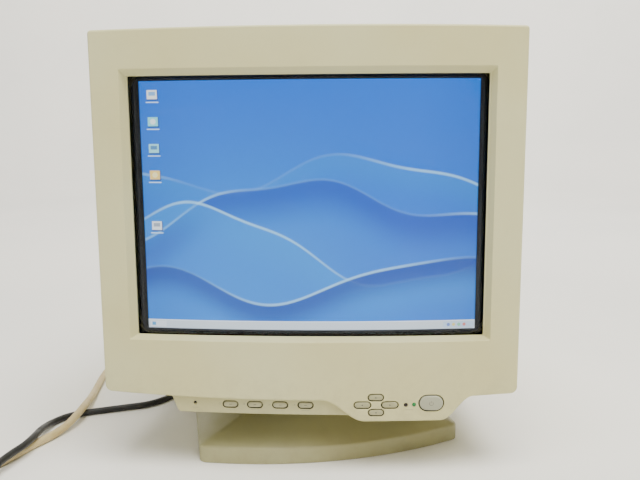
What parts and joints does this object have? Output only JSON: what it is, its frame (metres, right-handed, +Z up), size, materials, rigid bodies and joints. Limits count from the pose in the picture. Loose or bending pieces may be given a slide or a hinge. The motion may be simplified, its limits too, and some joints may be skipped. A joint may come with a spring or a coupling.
{
  "type": "computer monitor",
  "caption": "Cathode-ray-tube desktop monitor in a beige cabinet, tilting and turning on a low dished stand, with push buttons, power cord and video cable.",
  "frame": {"origin": "on the swivel axis, in the plane that the stand rests on", "axes": "+Z up along the swivel axis; the screen faces -Y; +X to the viewer's right as the viewer faces the screen; the stand is turned 13.2 degrees anticlockwise, seen from above, to the cabinet"},
  "size_m": [0.6645, 0.7017, 0.4285],
  "materials": {
    "cabinet_plastic": "fine moulded grain, warm beige",
    "stand_plastic": "fine moulded grain, slightly darker beige",
    "button_plastic": "smooth satin beige-grey",
    "power_button_plastic": "smooth satin grey",
    "black_plastic": "satin black",
    "steel": "zinc plated",
    "grille_steel": "blackened steel",
    "tube_glass": "polished dark tinted face glass",
    "coated_glass": "glass with a dark graphite coating",
    "neck_glass": "clear neck glass",
    "phosphor": "phosphor coating that shows the picture",
    "copper_winding": "varnished copper winding",
    "socket_plastic": "natural nylon",
    "circuit_board": "green lacquered board",
    "black_rubber": "soft matte black",
    "lead_insulation": "red silicone insulation",
    "capacitor_sleeve": "dark blue sleeve",
    "aluminium_fins": "extruded fins",
    "green_lamp": "translucent green, lit",
    "amber_lamp": "translucent amber, unlit",
    "cable_jacket": "smooth beige cable jacket"
  },
  "bodies": {
    "stand": {"stand_shell": "stand_plastic", "swivel_dish": "stand_plastic", "glide_ring": "socket_plastic", "stand_base_plate": "black_plastic", "rubber_feet": "black_rubber"},
    "swivel": {"swivel_shoe": "socket_plastic", "swivel_spring": "steel", "swivel_washer": "steel", "swivel_screw": "steel", "power_cord": "black_rubber", "power_cord_coil": "black_rubber", "mains_plug": "black_plastic", "video_cable": "cable_jacket", "video_cable_coil": "cable_jacket", "video_plug": "cable_jacket", "thumb_screws": "steel", "coil_ties": "black_plastic"},
    "cabinet": {"front_bezel": "cabinet_plastic", "rear_cover": "cabinet_plastic", "tilt_dome": "stand_plastic", "cabinet_screws": "steel", "crt_panel": "tube_glass", "crt_funnel": "coated_glass", "crt_neck": "neck_glass", "phosphor_screen": "phosphor", "aperture_grille": "steel", "grille_frame": "grille_steel", "rim_band": "steel", "tube_screws": "steel", "electron_gun": "steel", "deflection_yoke": "copper_winding", "convergence_rings": "black_plastic", "crt_socket": "socket_plastic", "neck_board": "circuit_board", "anode_cap": "black_rubber", "anode_lead": "lead_insulation", "flyback_transformer": "black_plastic", "degauss_coil": "black_rubber", "chassis_tray": "steel", "main_board": "circuit_board", "power_transformer": "copper_winding", "filter_capacitors": "capacitor_sleeve", "heatsinks": "aluminium_fins", "control_board": "circuit_board", "tact_switches": "black_plastic", "power_lamp": "green_lamp", "standby_lamp": "amber_lamp", "ac_inlet": "black_plastic", "power_connector": "black_plastic", "cable_gland": "cabinet_plastic"},
    "function_button_1": {"function_button_1": "button_plastic"},
    "function_button_2": {"function_button_2": "button_plastic"},
    "function_button_3": {"function_button_3": "button_plastic"},
    "function_button_4": {"function_button_4": "button_plastic"},
    "up_button": {"up_button": "button_plastic"},
    "down_button": {"down_button": "button_plastic"},
    "left_button": {"left_button": "button_plastic"},
    "right_button": {"right_button": "button_plastic"},
    "power_button": {"power_button": "power_button_plastic"},
    "reset_button": {"reset_button": "black_plastic"}
  },
  "joints": [
    {"name": "swivel", "type": "hinge", "parent": "stand", "child": "swivel", "pos_m": [0, 0, 0], "axis": [0, 0, 1], "range_deg": [-77, 103]},
    {"name": "tilt", "type": "hinge", "parent": "swivel", "child": "cabinet", "pos_m": [0, 0, 0.17], "axis": [-1, 0, 0], "range_deg": [-5, 15], "deforming": ["power_cord", "video_cable"]},
    {"name": "function_button_1_press", "type": "slide", "parent": "cabinet", "child": "function_button_1", "axis": [0, 1, 0], "range_m": [0, 0.0008], "stiffness_N_per_m": 900},
    {"name": "function_button_2_press", "type": "slide", "parent": "cabinet", "child": "function_button_2", "axis": [0, 1, 0], "range_m": [0, 0.0008], "stiffness_N_per_m": 900},
    {"name": "function_button_3_press", "type": "slide", "parent": "cabinet", "child": "function_button_3", "axis": [0, 1, 0], "range_m": [0, 0.0008], "stiffness_N_per_m": 900},
    {"name": "function_button_4_press", "type": "slide", "parent": "cabinet", "child": "function_button_4", "axis": [0, 1, 0], "range_m": [0, 0.0008], "stiffness_N_per_m": 900},
    {"name": "up_button_press", "type": "slide", "parent": "cabinet", "child": "up_button", "axis": [0, 1, 0], "range_m": [0, 0.0008], "stiffness_N_per_m": 900},
    {"name": "down_button_press", "type": "slide", "parent": "cabinet", "child": "down_button", "axis": [0, 1, 0], "range_m": [0, 0.0008], "stiffness_N_per_m": 900},
    {"name": "left_button_press", "type": "slide", "parent": "cabinet", "child": "left_button", "axis": [0, 1, 0], "range_m": [0, 0.0008], "stiffness_N_per_m": 900},
    {"name": "right_button_press", "type": "slide", "parent": "cabinet", "child": "right_button", "axis": [0, 1, 0], "range_m": [0, 0.0008], "stiffness_N_per_m": 900},
    {"name": "power_button_press", "type": "slide", "parent": "cabinet", "child": "power_button", "axis": [0, 1, 0], "range_m": [0, 0.002], "stiffness_N_per_m": 900},
    {"name": "reset_button_press", "type": "slide", "parent": "cabinet", "child": "reset_button", "axis": [0, 1, 0], "range_m": [0, 0.0008], "stiffness_N_per_m": 400}
  ]
}
